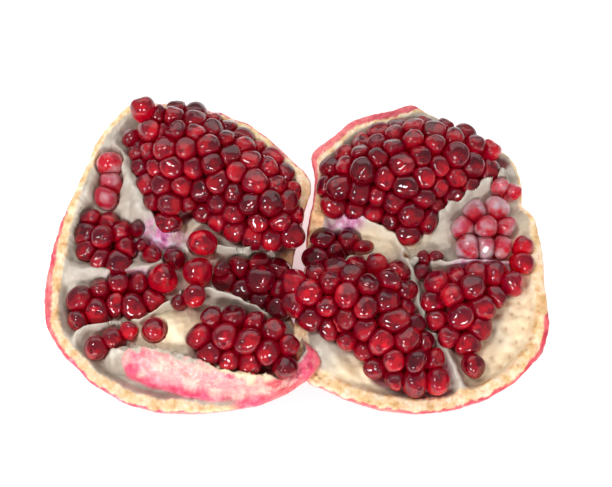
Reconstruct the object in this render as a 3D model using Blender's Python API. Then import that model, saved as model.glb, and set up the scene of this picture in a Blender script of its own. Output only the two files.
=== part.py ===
"""A pomegranate torn open like a book: two halves side by side, joined by a bridge of rind.

The peel is one grown piece. The arils of each seed chamber are one packed cluster, and the
arils that lie apart are pieces of their own. All sizes are in millimetres until a mesh is made.
"""

import math

import bmesh
import bpy
import numpy as np
from mathutils import Matrix, Vector

MM = 0.001

# Driving dimensions
ARIL_WIDTH = 7.1
ARIL_LENGTH = 9.6
ARIL_TAPER = 0.16
RIND = 4.4
SKIN_ROUND = 1.2
BOWL_ANGLE = math.radians(80.0)
FLAT_SINK = 2.2
FACE_HEIGHT = 31.0
FACE_SLOPE = 0.135
PITH_DROP = 3.0
SHOULDER = 14.0
EDGE_INSET = 3.3
EDGE_SPLAY = 0.6
NODE_GAP = 0.34
PITH_GAP = 2.5
HALF_COLUMNS = 54
OUTER_ROWS = 6
INNER_ROWS = 18
PACKED_FACETS = (5, 3)
LONE_FACETS = (6, 4)
FACET_FILL = 1.24

# Each half: its middle, and its rim as (x, y, height) points, round the way of the clock hands
LEFT_HALF = {
    "middle": (-38.0, -6.0),
    "rim": [(-57, 42.5, 36), (-45, 44, 37), (-32, 42, 37), (-16, 34.5, 37), (-5, 24.5, 36),
            (1.4, 17, 34), (-0.5, 9, 31), (-2, 2, 30), (-5, -11, 29), (-4, -24, 28),
            (1, -33, 29), (4, -38, 30), (3, -42, 28), (-6, -49, 25), (-21, -53.5, 24),
            (-36, -54.5, 24), (-52.5, -52, 25), (-64, -45, 26), (-75, -33.5, 27), (-79, -24, 28),
            (-78.5, -11, 30), (-76, 0.5, 32), (-71.5, 13.5, 34), (-65.5, 28.5, 36)],
}
RIGHT_HALF = {
    "middle": (36.0, -5.0),
    "rim": [(2, 27, 34), (8, 32, 35), (14, 38, 35), (25, 41, 36), (34, 43, 36),
            (43, 40, 32), (55, 34.5, 30), (65, 27, 30), (67.5, 17, 30), (67.5, 11, 29),
            (71, 6, 30), (72, -5, 30), (72.5, -17, 29), (73, -26, 29), (71, -35.5, 28),
            (61.5, -46, 27), (48, -52.5, 26), (34, -55, 25), (19, -52.5, 25), (6.5, -48, 25),
            (0, -43, 25.5), (-0.5, -36, 26.5), (-0.5, -29, 28), (-1, -17, 29), (0, -2, 31),
            (2, 11, 33), (2.6, 19, 34)],
}

# Each chamber: outline of its packed arils, height at the outline, rise of the dome, spacing
CHAMBERS = {
    "arils_left_back": ([(-50, 35), (-47, 40), (-41, 42), (-31, 40), (-17, 31), (-7, 23), (-1.5, 11),
                         (-1.5, -1), (-6, -4), (-14, -4.5), (-22, -2), (-27, 1), (-35, 5), (-41, 0.5),
                         (-46, 3), (-49, 10), (-51, 16), (-54, 23), (-54, 30)], 38.0, 8.5, 5.5),
    "arils_left_side": ([(-69, 7), (-63, 9), (-56, 5), (-52, 0), (-53, -7), (-57, -11),
                         (-64, -9), (-70, -4)], 32.5, 5.0, 5.3),
    "arils_left_front": ([(-73, -21), (-69, -17), (-60, -13), (-52, -11), (-46, -16), (-43, -21),
                          (-50, -25), (-57, -25), (-63, -27), (-69, -29), (-72, -26)],
                         30.5, 5.0, 5.7),
    "arils_left_inner": ([(-27, -6), (-19, -6), (-13, -5), (-6, -8), (-5, -15), (-5, -22),
                          (-8, -25), (-13, -22), (-18, -19), (-24, -17), (-28, -13)],
                         29.0, 5.5, 5.6),
    "arils_left_flap": ([(-34, -31), (-29, -25), (-20, -25), (-10, -28), (-3.5, -32), (-2.5, -39),
                         (-5.5, -45), (-13, -43), (-19, -44), (-25, -42), (-30, -40), (-34, -37)],
                        33.0, 5.0, 6.1),
    "arils_right_back": ([(4, 21), (8, 25), (14, 29.5), (21, 34.5), (30, 37.5), (39, 38), (48, 35.5),
                          (55, 32), (61, 28.5), (64.5, 25), (58, 18.5), (52, 14.5), (47, 10.5),
                          (42, 8), (38, 1), (30, -2), (24, 3), (13, 6), (6, 8), (4, 13)],
                         37.0, 8.5, 5.6),
    "arils_right_inner": ([(2, 0), (6, 3), (12, 3), (16, 1), (16, -4), (9, -7), (3, -9),
                           (0, -6)], 30.5, 4.0, 5.3),
    "arils_right_front": ([(-4, -13), (7, -10), (19, -8), (30, -11), (32.5, -19), (33, -25),
                           (35, -30), (39, -36), (41.5, -43), (40, -48.5), (30, -48.5), (20, -46),
                           (16, -39), (10, -35), (4, -31), (-3, -28), (-6, -23), (-6, -17)],
                          33.0, 7.5, 5.9),
    "arils_right_pale": ([(46, 4), (52, 10), (59, 11), (63, 6), (63, -2), (61, -7), (55, -7),
                          (48, -7), (46, -2)], 35.0, 4.0, 5.9),
    "arils_right_side": ([(35, -18), (38, -14), (45, -11), (55, -10), (63, -12), (65, -17),
                          (58, -23), (54, -31), (50, -37), (45, -37), (39, -32), (36, -27)],
                         33.0, 5.5, 6.0),
}

# Arils that stand or lie apart: tip (x, y, z), lean (x, y) of its axis, width and length
LONE_ARILS = {
    "aril_left_tall": ((-51.5, 38.0, 48.5), (-0.25, 0.20), 8.0, 11.5),
    "aril_left_tall_right": ((-45.0, 36.0, 46.0), (0.25, 0.10), 6.8, 10.0),
    "aril_left_tall_front": ((-48.0, 29.5, 46.5), (0.0, -0.15), 7.8, 10.0),
    "aril_left_tall_low": ((-57.0, 31.0, 40.0), (-1.1, 0.1), 6.2, 9.0),
    "aril_left_pale_back": ((-60.6, 25.2, 38.5), (0.1, 0.5), 8.4, 9.5),
    "aril_left_pale_mid": ((-61.3, 17.2, 37.0), (-0.2, 0.0), 7.2, 9.5),
    "aril_left_pale_front": ((-62.2, 10.4, 36.0), (-0.1, -0.5), 7.6, 9.5),
    "aril_left_stain_a": ((-51.0, 3.0, 34.5), (0.3, 0.3), 4.6, 7.0),
    "aril_left_stain_b": ((-50.0, -4.5, 33.0), (0.0, -0.5), 4.6, 7.0),
    "aril_left_stain_c": ((-44.0, -7.0, 33.5), (0.9, -0.3), 5.4, 9.5),
    "aril_left_stain_d": ((-38.0, -9.5, 33.5), (0.6, -0.6), 6.6, 9.0),
    "aril_left_long_a": ((-39.0, -15.5, 34.5), (1.1, -0.3), 8.6, 12.0),
    "aril_left_long_b": ((-31.5, -13.5, 34.5), (0.3, -0.4), 9.4, 11.0),
    "aril_left_round": ((-31.5, -5.0, 36.0), (0.0, -0.5), 8.6, 10.5),
    "aril_left_wall_a": ((-63.5, -37.5, 31.0), (-0.3, -0.6), 7.4, 10.0),
    "aril_left_wall_b": ((-57.0, -34.5, 32.0), (0.1, -0.5), 7.0, 9.5),
    "aril_left_wall_c": ((-51.5, -31.5, 32.5), (0.4, -0.2), 5.4, 8.0),
    "aril_left_gem": ((-44.0, -31.8, 34.0), (0.3, -0.3), 7.4, 9.5),
    "aril_left_ridge_a": ((-32.5, -21.5, 35.0), (0.3, -0.3), 7.0, 9.0),
    "aril_left_ridge_b": ((-39.5, -21.8, 32.5), (-0.5, 0.0), 4.4, 6.5),
    "aril_left_dark": ((-24.5, -11.0, 33.0), (0.4, 0.0), 4.6, 7.0),
    "aril_right_tip_a": ((60.5, 16.5, 37.0), (0.1, 0.3), 5.6, 8.5),
    "aril_right_tip_b": ((66.0, 14.5, 35.5), (0.7, 0.1), 5.2, 8.0),
    "aril_right_edge_a": ((68.0, -2.5, 34.5), (0.6, 0.5), 6.0, 8.5),
    "aril_right_edge_b": ((67.5, -10.5, 34.5), (0.5, -0.4), 6.8, 10.5),
    "aril_right_pointed": ((20.5, -3.2, 32.0), (1.2, 0.0), 4.6, 9.0),
    "aril_right_nook_a": ((35.5, -6.5, 33.0), (-0.2, 0.2), 4.4, 7.0),
    "aril_right_nook_b": ((41.5, -7.2, 33.0), (1.0, 0.0), 3.8, 7.0),
    "aril_right_nook_c": ((34.8, -12.5, 32.5), (-0.2, -0.4), 5.0, 8.0),
    "aril_right_hinge": ((8.5, -31.0, 34.0), (-0.5, -0.7), 8.0, 10.5),
    "aril_right_broken": ((51.0, -43.0, 31.0), (0.4, -0.5), 7.6, 9.5),
}

# White ridges of pith: (x, y) points along the crest, height over the face, half width
RIDGES = [
    ([(5, 10), (12, 7), (18, 4), (27, -1), (31, -9), (33, -18), (36, -27), (41, -35), (44, -42),
      (46, -47)], 2.5, 2.4),
    ([(38, 3), (45, 10), (53, 15), (60, 20), (66, 22)], 5.0, 2.6),
    ([(33, -8), (42, -9.5), (52, -9), (64, -10)], 3.0, 1.8),
    ([(-72, -11), (-63, -12), (-53, -12), (-44, -9), (-35, -3), (-33, 4)], 1.5, 3.0),
    ([(-71, -37), (-69, -32), (-66, -30), (-59, -28.5), (-50, -28), (-43, -23.5), (-36, -18),
      (-30, -18.5), (-20, -21), (-11, -26)], 4.0, 1.8),
    ([(-64, 28), (-58, 22), (-54, 13), (-50, 6), (-42, 0)], 4.0, 3.2),
    ([(-33, -4), (-26, -4.5), (-18, -5.5), (-10, -6.5)], 3.0, 1.6),
]

# Soft swellings of the pith: (x, y) middle, rise, and half widths across x and y
SWELLINGS = [
    ((-41.0, -31.0), 7.5, 12.0, 8.0),
    ((28.0, -3.0), 3.0, 9.0, 6.0),
    ((62.0, -28.0), 1.5, 10.0, 14.0),
]

# The flap of rind at the front of the left half: its lower and upper edges, seen from above
FLAP_LOW = [(-62, -38.5), (-58, -42), (-54, -42.5), (-50, -44.5), (-42, -47.5), (-31, -50.5),
            (-21, -52), (-11, -49.5), (-2, -44.5), (3, -41)]
FLAP_TOP = [(-62, -38), (-58, -38), (-54, -37.5), (-46, -37.5), (-35, -40.5), (-25, -43.5),
            (-16, -46), (-8, -46), (-2, -41), (3, -37)]
FLAP_FOOT_HEIGHT = 22.5
FLAP_CREST_HEIGHT = 32.0
FLAP_FALL = 4.0

COLOURS = {
    "peel": (0.80, 0.42, 0.36, 1.0),
    "deep": (0.30, 0.012, 0.030, 1.0),
    "pale": (0.62, 0.16, 0.20, 1.0),
}


def closed_curve(points, per_span=6):
    """A Catmull-Rom curve through a closed loop of points."""
    knots = np.asarray(points, dtype=float)
    before, after, beyond = np.roll(knots, 1, 0), np.roll(knots, -1, 0), np.roll(knots, -2, 0)
    rows = []
    for step in np.arange(per_span) / per_span:
        rows.append(0.5 * (2 * knots + (after - before) * step
                           + (2 * before - 5 * knots + 4 * after - beyond) * step ** 2
                           + (3 * knots - before - 3 * after + beyond) * step ** 3))
    return np.stack(rows, 1).reshape(-1, knots.shape[1])


def to_segments(points, line, closed):
    """Distance from each point to the nearest place on a line, and the step towards it."""
    start = line if closed else line[:-1]
    end = np.roll(line, -1, 0) if closed else line[1:]
    span = end - start
    offset = points[:, None, :] - start[None]
    along = np.clip((offset * span).sum(2) / np.maximum((span ** 2).sum(1), 1e-9), 0, 1)
    step = along[..., None] * span - offset
    length = np.linalg.norm(step, axis=2)
    nearest = length.argmin(1)
    rows = np.arange(len(points))
    return length[rows, nearest], step[rows, nearest]


def depth_inside(points, loop):
    """Signed distance from a closed loop, positive inside, with the step to the nearest edge."""
    distance, step = to_segments(points, loop, True)
    x, y = points[:, 0, None], points[:, 1, None]
    start, end = loop, np.roll(loop, -1, 0)
    rises = (start[:, 1] > y) != (end[:, 1] > y)
    fall = np.where(end[:, 1] == start[:, 1], 1e-9, end[:, 1] - start[:, 1])
    crossing = x < (end[:, 0] - start[:, 0]) * (y - start[:, 1]) / fall + start[:, 0]
    inside = (rises & crossing).sum(1) % 2 == 1
    return np.where(inside, distance, -distance), step


def smooth(low, high, value):
    """Zero below low, one above high, and a soft step between."""
    share = np.clip((value - low) / (high - low), 0, 1)
    return share * share * (3 - 2 * share)


def dome(points, loop, edge_height, rise):
    """Middles of arils over a chamber, and the way they point: a round shoulder, then a flat top."""
    depth, step = depth_inside(points, loop)
    share = np.clip((depth - EDGE_INSET) / SHOULDER, 0, 1)
    height = edge_height + FACE_SLOPE * (points[:, 1] - loop[:, 1].mean())
    height = height + rise * share * (2 - share) - ARIL_LENGTH * 0.40
    outward = step / np.maximum(np.linalg.norm(step, axis=1, keepdims=True), 1e-9)
    splay = (EDGE_SPLAY * (1 - share))[:, None] * outward
    axis = np.column_stack([splay[:, 0], splay[:, 1] - FACE_SLOPE, np.ones(len(points))])
    axis = axis / np.linalg.norm(axis, axis=1, keepdims=True)
    return np.column_stack([points, height]), axis


def settle(outline, edge_height, rise, spacing, seed):
    """Pack arils over a chamber's dome: near neighbours push each other apart until all fit."""
    loop = closed_curve(outline)
    chance = np.random.default_rng(seed)
    low, high = loop.min(0), loop.max(0)
    tries = low + (high - low) * chance.random((6000, 2))
    tries = tries[depth_inside(tries, loop)[0] > EDGE_INSET]
    area = np.prod(high - low) * len(tries) / 6000
    border = math.sqrt(math.tau * 2 * area)
    count = round(area / (0.866 * spacing ** 2) + border / (2 * spacing) + 1)
    points = tries[:count]
    for _ in range(260):
        middle, _ = dome(points, loop, edge_height, rise)
        gap = middle[:, None] - middle[None]
        distance = np.linalg.norm(gap, axis=2) + np.eye(len(points)) * 1e3
        push = np.clip(1.12 * spacing - distance, 0, None)
        points = points + 0.2 * (gap / distance[..., None] * push[..., None]).sum(1)[:, :2]
        depth, step = depth_inside(points, loop)
        inward = -step / np.maximum(np.linalg.norm(step, axis=1, keepdims=True), 1e-9)
        inward = inward * np.where(depth < 0, -1, 1)[:, None]
        points = points + np.clip(EDGE_INSET - depth, 0, None)[:, None] * inward
    middle, axis = dome(points, loop, edge_height, rise)
    return [{"tip": m + a * ARIL_LENGTH / 2, "axis": a, "width": ARIL_WIDTH,
             "length": ARIL_LENGTH} for m, a in zip(middle, axis)]


def lone(tip, lean, width, length):
    """One aril by its tip and its lean."""
    axis = np.array([lean[0], lean[1], 1.0])
    return {"tip": np.array(tip, dtype=float), "axis": axis / np.linalg.norm(axis),
            "width": width, "length": length}


def middle_of(aril):
    """The middle of an aril, half its length under its tip."""
    return aril["tip"] - aril["axis"] * aril["length"] / 2


def all_arils():
    """Every aril, by the name of the node that it belongs to."""
    groups = {}
    for seed, (name, shape) in enumerate(CHAMBERS.items()):
        groups[name] = settle(*shape, seed)
    for name, shape in LONE_ARILS.items():
        groups[name] = [lone(*shape)]
    return groups


def add_aril(mesh, aril, facets, others):
    """Add one tapered egg to a bmesh, pressed flat where an aril of another node comes near."""
    axis = Vector(aril["axis"])
    turn = axis.to_track_quat("Z", "X").to_matrix().to_4x4()
    half_width = aril["width"] / 2 * FACET_FILL
    size = Matrix.Diagonal((half_width, half_width, aril["length"] / 2, 1))
    segments, rings = facets
    made = bmesh.ops.create_uvsphere(mesh, u_segments=segments, v_segments=rings, radius=1)
    middle = middle_of(aril)
    for vert in made["verts"]:
        spread = 1 + ARIL_TAPER * vert.co.z
        vert.co.x *= spread
        vert.co.y *= spread
    bmesh.ops.transform(mesh, matrix=turn @ size, verts=made["verts"])
    for vert in made["verts"]:
        place = np.array(vert.co)
        for _ in range(3):
            for normal, reach in others:
                over = place @ normal - reach
                if over > 0:
                    place = place - normal * over
        vert.co = Vector(place + middle)


def pressing_planes(aril, name, groups):
    """Planes half way to each near aril of another node, as unit normals and reaches."""
    planes = []
    middle = middle_of(aril)
    for other_name, members in groups.items():
        if other_name == name:
            continue
        for other in members:
            gap = middle_of(other) - middle
            distance = np.linalg.norm(gap)
            near = 0.62 * (aril["length"] + other["length"])
            if distance < near:
                share = aril["width"] / (aril["width"] + other["width"])
                planes.append((gap / distance, distance * share - NODE_GAP / 2))
    return planes


def new_material(name, colour, roughness):
    """A Principled material of one colour."""
    material = bpy.data.materials.new(name)
    material.use_nodes = True
    shader = material.node_tree.nodes["Principled BSDF"]
    shader.inputs["Base Color"].default_value = colour
    shader.inputs["Roughness"].default_value = roughness
    shader.inputs["Metallic"].default_value = 0.0
    material.diffuse_color = colour
    return material


def place_mesh(mesh, name, collection, material):
    """Turn a bmesh in millimetres into a smooth-shaded object in metres, about the origin."""
    rims = np.array(LEFT_HALF["rim"] + RIGHT_HALF["rim"], dtype=float)
    centre = (rims.min(0) + rims.max(0)) / 2
    bmesh.ops.recalc_face_normals(mesh, faces=mesh.faces)
    bmesh.ops.translate(mesh, verts=mesh.verts, vec=(-centre[0], -centre[1], 0))
    bmesh.ops.transform(mesh, matrix=Matrix.Scale(MM, 4), verts=mesh.verts)
    data = bpy.data.meshes.new(name)
    mesh.to_mesh(data)
    mesh.free()
    data.shade_smooth()
    data.materials.append(material)
    thing = bpy.data.objects.new(name, data)
    collection.objects.link(thing)
    return thing


def hide_cutter(thing):
    """Mark a helper shape so that it is no part of the fruit."""
    thing.hide_render = True
    thing.display_type = "WIRE"


def join_cutter(thing, cutter):
    """Union a helper into a piece, with any overlaps inside either of them."""
    union = thing.modifiers.new("Join", "BOOLEAN")
    union.operation = "UNION"
    union.solver = "EXACT"
    union.use_self = True
    union.object = cutter
    hide_cutter(cutter)


def make_cluster(name, groups, parts, cutters, material):
    """A chamber's arils, overlapping a little and joined into one body."""
    members = groups[name]
    first, rest = bmesh.new(), bmesh.new()
    for index, aril in enumerate(members):
        target = first if index == 0 else rest
        add_aril(target, aril, PACKED_FACETS, pressing_planes(aril, name, groups))
    thing = place_mesh(first, name, parts, material)
    join_cutter(thing, place_mesh(rest, name + "_rest", cutters, material))
    return thing


def make_lone(name, groups, parts, material):
    """One aril on its own."""
    mesh = bmesh.new()
    aril = groups[name][0]
    add_aril(mesh, aril, LONE_FACETS, pressing_planes(aril, name, groups))
    return place_mesh(mesh, name, parts, material)


def flap_height(x, y):
    """Height of the torn front flap over a point, and how much of it is there."""
    low, top = line_at(FLAP_LOW, x), line_at(FLAP_TOP, x)
    share = (y - low) / np.maximum(top - low, 0.4)
    within = smooth(-62.0, -57.0, x) * smooth(5.0, 1.0, x)
    crest = FLAP_FOOT_HEIGHT + (FLAP_CREST_HEIGHT - FLAP_FOOT_HEIGHT) * np.sqrt(np.clip(share, 0, 1))
    behind = smooth(top + FLAP_FALL, top, y)
    here = within * behind * smooth(-0.15, 0.05, share)
    return crest, here


def line_at(points, x):
    """The y of a line of points at x."""
    line = np.asarray(points, dtype=float)
    return np.interp(x, line[:, 0], line[:, 1])


def face_height(points, flap):
    """Height of the pith: a tilted face with swellings, ridges, and the left half's flap."""
    x, y = points[:, 0], points[:, 1]
    plain = FACE_HEIGHT + FACE_SLOPE * y - PITH_DROP
    height = plain.copy()
    for (at_x, at_y), rise, wide, deep in SWELLINGS:
        away = ((x - at_x) / wide) ** 2 + ((y - at_y) / deep) ** 2
        height = height + rise * np.exp(-away)
    for crest, rise, half_width in RIDGES:
        distance, _ = to_segments(points, np.asarray(crest, dtype=float), False)
        bump = (rise + PITH_DROP) * np.exp(-(distance / half_width) ** 2)
        height = np.maximum(height, plain + bump)
    if flap:
        crest, here = flap_height(x, y)
        height = height * (1 - here) + crest * here
    return height


def under_aril(points, aril):
    """The underside of an aril grown by the pith gap, as a height over each point."""
    axis, middle = aril["axis"], middle_of(aril)
    across = aril["width"] * (1 + ARIL_TAPER) / 2 + PITH_GAP
    along = aril["length"] / 2 + PITH_GAP
    stretch = np.eye(3) / across ** 2 + np.outer(axis, axis) * (1 / along ** 2 - 1 / across ** 2)
    flat = points - middle[:2]
    a = stretch[2, 2]
    b = 2 * (flat @ stretch[:2, 2])
    c = np.einsum("ij,jk,ik->i", flat, stretch[:2, :2], flat) - 1
    root = b * b - 4 * a * c
    lower = middle[2] + (-b - np.sqrt(np.maximum(root, 0))) / (2 * a)
    return np.where(root > 0, lower, np.inf)


def hollowed(points, height, arils):
    """A height over each point, lowered wherever an aril needs the room."""
    for aril in arils:
        height = np.minimum(height, under_aril(points, aril))
    return height


def make_half(shape, arils, flap):
    """One half of the peel: a bowl outside, a rim of rind, and the pith face inside."""
    mesh = bmesh.new()
    rows = OUTER_ROWS + INNER_ROWS
    bmesh.ops.create_uvsphere(mesh, u_segments=HALF_COLUMNS, v_segments=rows, radius=1)
    ball = np.array([vert.co[:] for vert in mesh.verts])
    turn = np.arctan2(ball[:, 1], ball[:, 0])
    direction = np.column_stack([np.cos(turn), np.sin(turn)])
    row = np.rint((1 - np.arccos(np.clip(ball[:, 2], -1, 1)) / math.pi) * rows)
    middle = np.array(shape["middle"])
    rim = closed_curve(shape["rim"])
    spokes = rim[:, :2] - middle
    angle = np.arctan2(spokes[:, 1], spokes[:, 0])
    order = angle.argsort()
    radius = np.interp(turn, angle[order], np.linalg.norm(spokes, axis=1)[order], period=math.tau)
    rim_height = np.interp(turn, angle[order], rim[order, 2], period=math.tau)
    for inset in (0.0, SKIN_ROUND):
        ring = middle + direction * (radius - inset)[:, None]
        rim_height = hollowed(ring, rim_height, arils)
    # Outside: an arc from the flat foot up to the rim
    bend = BOWL_ANGLE * np.clip(row / OUTER_ROWS, 0, 1)
    bowl_reach = radius * np.sin(bend) / math.sin(BOWL_ANGLE)
    rise = (1 - np.cos(bend)) / (1 - math.cos(BOWL_ANGLE))
    bowl = np.maximum((rim_height - SKIN_ROUND + FLAT_SINK) * rise - FLAT_SINK, 0)
    # Inside: a flat rim of rind two rows wide, then the face to its middle
    inner_row = row - OUTER_ROWS
    share = np.clip((rows - row) / (INNER_ROWS - 2), 0, 1)
    face_reach = (radius - RIND) * share
    lip_reach = radius - np.where(inner_row < 1.5, SKIN_ROUND, RIND)
    face_reach = np.where(inner_row < 2.5, lip_reach, face_reach)
    outside = row <= OUTER_ROWS
    flat = middle + direction * np.where(outside, bowl_reach, face_reach)[:, None]
    face = face_height(flat, flap)
    into = smooth(0, 6.0, radius - RIND - face_reach)
    face = rim_height * (1 - into) + face * into
    face = np.where(inner_row < 2.5, rim_height, face)
    height = np.where(outside, bowl, hollowed(flat, face, arils))
    for vert, (x, y), z in zip(mesh.verts, flat, height):
        vert.co = (x, y, z)
    bmesh.ops.triangulate(mesh, faces=mesh.faces)
    return mesh


def make_peel(groups, parts, cutters, material):
    """Both halves of the peel, joined where the bridge of rind runs between them."""
    every = [aril for members in groups.values() for aril in members]
    left = place_mesh(make_half(LEFT_HALF, every, True), "peel", parts, material)
    right = place_mesh(make_half(RIGHT_HALF, every, False), "peel_right", cutters, material)
    join_cutter(left, right)
    return left


def new_collection(name):
    """A collection of its own in the scene."""
    collection = bpy.data.collections.new(name)
    bpy.context.scene.collection.children.link(collection)
    return collection


def main():
    for thing in list(bpy.data.objects):
        bpy.data.objects.remove(thing, do_unlink=True)
    parts = new_collection("pomegranate")
    cutters = new_collection("cutters")
    groups = all_arils()
    make_peel(groups, parts, cutters, new_material("peel_skin", COLOURS["peel"], 0.5))
    for name in groups:
        tone = "pale" if "pale" in name or "right_tip" in name else "deep"
        material = new_material(name + "_skin", COLOURS[tone], 0.12)
        if name in CHAMBERS:
            make_cluster(name, groups, parts, cutters, material)
        else:
            make_lone(name, groups, parts, material)


main()
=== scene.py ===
"""The looks of a pomegranate torn open like a book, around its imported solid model.

Lengths are in millimetres, in the layout frame of the fruit, until a mesh is made: then they
become metres about the middle of the fruit's foot. The chambers, the single arils, the left rim
and the flap are laid out as in the solids. The right half's rim reaches up to 4 mm further where
the halves join, and the ridges and swellings of the pith differ from the solids' too.
"""

import math

import bpy
import numpy as np
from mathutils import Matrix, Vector


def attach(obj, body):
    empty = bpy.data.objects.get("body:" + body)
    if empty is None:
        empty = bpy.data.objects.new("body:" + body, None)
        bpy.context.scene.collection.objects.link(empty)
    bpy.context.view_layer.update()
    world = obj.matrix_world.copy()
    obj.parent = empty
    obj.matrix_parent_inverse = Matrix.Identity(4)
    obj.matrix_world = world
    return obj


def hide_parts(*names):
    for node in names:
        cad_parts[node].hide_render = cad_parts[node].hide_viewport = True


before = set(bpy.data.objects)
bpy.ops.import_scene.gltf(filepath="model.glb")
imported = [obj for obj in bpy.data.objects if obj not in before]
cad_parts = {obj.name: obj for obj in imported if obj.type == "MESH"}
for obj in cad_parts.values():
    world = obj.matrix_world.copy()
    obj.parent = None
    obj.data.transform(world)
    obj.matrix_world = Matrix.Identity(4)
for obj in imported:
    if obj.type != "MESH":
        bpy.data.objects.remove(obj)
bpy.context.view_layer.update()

MM = 0.001

# Sizes of the layout
ARIL_WIDTH = 7.1
ARIL_LENGTH = 9.6
ARIL_TAPER = 0.16
RIND = 4.4
FACE_HEIGHT = 31.0
FACE_SLOPE = 0.135
PITH_DROP = 3.0
SHOULDER = 14.0
EDGE_INSET = 3.3
EDGE_SPLAY = 0.6
FLAT_SINK = 2.2
TIP_SHARE = 0.40
BED_DEPTH = 3.2

# Packing of the arils: random tries over a chamber, settling steps, how hard they push, how close
# they stand for their spacing, and the row spacing of a triangular grid
TRIES = 6000
SETTLING_STEPS = 260
PUSH = 0.2
CROWDING = 1.12
GRID_ROW = 0.866

# Sums of crossed sine waves: how many, and what brings the sum to about 1
WAVE_COUNT = 10
WAVE_REACH = 4.5

# Finish of the fine surfaces
BOWL_ANGLE = math.radians(84.0)
COLUMNS = 480
OUTER_ROWS = 44
INNER_ROWS = 130
LIP_STEPS = (0.15, 0.35, 0.6, 0.9, 1.25, 1.6, 2.0, 2.4, 2.8, 3.2, 3.6, 4.0, 4.4)
SKIN_EDGE = 1.1
PITH_HUG = -0.12
RIM_WINDOW = 9
BOWL_WINDOW = 14
BOWL_CALM = 6
CAGE_COLUMNS = 12
CAGE_ROWS = 7
PRESS_POWER = 18.0
ARIL_GROWTH = 1.16
EGG_POWER = 2.2
# How far the painted shade where neighbours touch spreads out from the contact
CONTACT_SHADE_SPREAD = 0.4
NEIGHBOURS = 12

# Chance in the shape of an aril: lowest and highest factor on its size, length and roundness
BULK = (0.72, 1.30)
STRETCH = (0.95, 1.18)
ROUNDNESS = (0.86, 1.16)

# The cap where the rind lay, and the other flat facets: how far the normal strays, and the lowest
# and highest share of the egg's reach at which the plane cuts
CAP_STRAY = 0.28
CAP_LEAN = (0, 0.22, 0)
CAP_CUT = (0.80, 0.92)
FACETS = 6
FACET_STRAY = 0.8
FACET_CUT = (0.77, 0.97)
LONE_FACET_CUT = 0.03

# The painted glow, a painted light gathered on the front of each tip: how far its direction
# strays and leans from the axis, where it starts, and its lowest and highest strength
GLOW_STRAY = 0.25
GLOW_LEAN = (0, -0.60, 0)
GLOW_START = 0.62
GLOW_STRENGTH = (0.5, 1.2)

# Tone and painted glow of the arils that are darker or brighter than the rest
DARK_TONE = 0.15
DARK_GLOW = 0.35
BRIGHT_TONE = 0.35

# Each half: its middle, its rim as (x, y, height) points round the way of the clock hands, and the
# finish of its edge as (direction in degrees, width of skin, width of torn rind, brownness)
LEFT_HALF = {
    "middle": (-38, -6),
    "rim": [
        (-57, 42.5, 36), (-45, 44, 37), (-32, 42, 37), (-16, 34.5, 37), (-5, 24.5, 36),
        (1.4, 17, 34), (-0.5, 9, 31), (-2, 2, 30), (-5, -11, 29), (-4, -24, 28), (1, -33, 29),
        (4, -38, 30), (3, -42, 28), (-6, -49, 25), (-21, -53.5, 24), (-36, -54.5, 24),
        (-52.5, -52, 25), (-64, -45, 26), (-75, -33.5, 27), (-79, -24, 28), (-78.5, -11, 30),
        (-76, 0.5, 32), (-71.5, 13.5, 34), (-65.5, 28.5, 36)],
    "edge": [
        (0, 0.2, 4, 1), (25, 0.2, 3.6, 0.6), (45, 0.7, 3.2, 0.15), (105, 0.8, 2.4, 0.15),
        (120, -1, 3, 0.2), (150, -0.6, 2.6, 0.5), (166, 0.9, 2.4, 0.5), (180, 1.7, 2.8, 0.6),
        (205, 2.2, 2.4, 0.6), (216, 1, 2.4, 0.6), (235, 0.6, 3, 0.6), (270, 0.3, 3.6, 0.5),
        (290, 0, 1, 0.3), (335, 0.3, 2.4, 0.8)],
}
RIGHT_HALF = {
    "middle": (36, -5),
    "rim": [
        (2, 27, 34), (8, 32, 35), (14, 38, 35), (25, 41, 36), (34, 43, 36), (43, 40, 32),
        (55, 34.5, 30), (65, 27, 30), (67.5, 17, 30), (67.5, 11, 29), (71, 6, 30), (72, -5, 30),
        (72.5, -17, 29), (73, -26, 29), (71, -35.5, 28), (61.5, -46, 27), (48, -52.5, 26),
        (34, -55, 25), (19, -52.5, 25), (6.5, -48, 25), (-0.5, -43, 26.5), (-3, -37.5, 30.5),
        (-4, -31, 31), (-3.5, -25, 30), (-1.5, -17, 29), (0, -2, 31), (2, 11, 33), (2.6, 19, 34)],
    "edge": [
        (0, -1.5, 4.4, 0.4), (35, -1, 2, 0.1), (88, -0.5, 1.2, 0.1), (94, 2.9, 1, 0.1),
        (135, 2.4, 1.6, 0.4), (155, 0.4, 4, 0.9), (192, 0.2, 4.4, 1), (206, 0.1, 5.4, 0.35),
        (230, 0.2, 5, 0.4), (270, 0.5, 4.2, 0.45), (300, 0.8, 4.4, 0.45), (318, 1.2, 4, 0.5),
        (329, 2.2, 3, 0.4), (333, -0.8, 4.8, 0.65)],
}

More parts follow.
